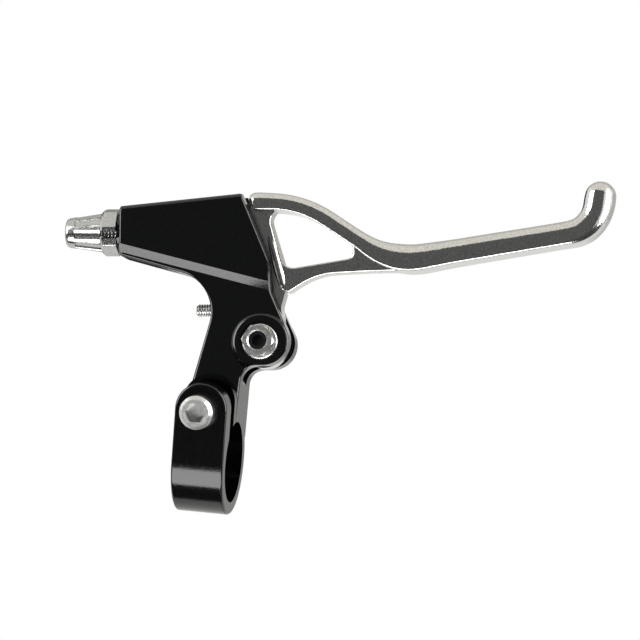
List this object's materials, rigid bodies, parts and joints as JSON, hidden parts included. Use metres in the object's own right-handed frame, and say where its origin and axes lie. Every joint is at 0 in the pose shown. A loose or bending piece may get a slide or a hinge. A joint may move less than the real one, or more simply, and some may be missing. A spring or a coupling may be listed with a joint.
{
  "type": "bicycle brake lever",
  "caption": "Cable brake lever: split handlebar clamp bracket with cable housing, slotted barrel adjuster and a sprung, hooked lever blade with a triangular window.",
  "frame": {"origin": "middle of the handlebar clamp's bore", "axes": "+X along the handlebar towards the lever tip, +Z away from the bar in the plane the lever swings in, +Y along the pivot bolt towards its head"},
  "size_m": [0.1525, 0.0363, 0.1008],
  "materials": {
    "gloss_black_paint": "gloss",
    "polished_aluminium": "polished",
    "plated_steel": "bright zinc plating",
    "spring_steel": "drawn wire",
    "bronze": "plain bearing bronze",
    "nylon": "matte"
  },
  "bodies": {
    "bracket_body": {"bracket": "gloss_black_paint", "pivot_bolt": "plated_steel", "pivot_nut": "plated_steel", "pivot_bushing": "bronze", "front_thrust_washer": "nylon", "rear_thrust_washer": "nylon", "clamp_bolt": "plated_steel", "return_spring": "spring_steel"},
    "lever": {"lever_blade": "polished_aluminium"},
    "adjuster": {"barrel_adjuster": "plated_steel"},
    "locknut": {"adjuster_locknut": "plated_steel"},
    "reach_adjust": {"reach_screw": "plated_steel"}
  },
  "joints": [
    {"name": "lever_pivot", "type": "hinge", "parent": "bracket_body", "child": "lever", "pos_m": [0.0121, 0.002, 0.0334], "axis": [0, 1, 0], "range_deg": [0, 30], "stiffness_Nm_per_rad": 0.06, "springref_deg": -57.3, "deforming": ["return_spring"]},
    {"name": "adjuster_travel", "type": "slide", "parent": "bracket_body", "child": "adjuster", "axis": [-0.9959, 0, -0.0906], "range_m": [0, 0.006]},
    {"name": "locknut_spin", "type": "hinge", "parent": "bracket_body", "child": "locknut", "pos_m": [-0.03085, 0.002, 0.06087], "axis": [0.9959, 0, 0.0906], "continuous": true},
    {"name": "reach_travel", "type": "slide", "parent": "bracket_body", "child": "reach_adjust", "axis": [-0.9959, 0, -0.0906], "range_m": [0, 0.003]}
  ]
}
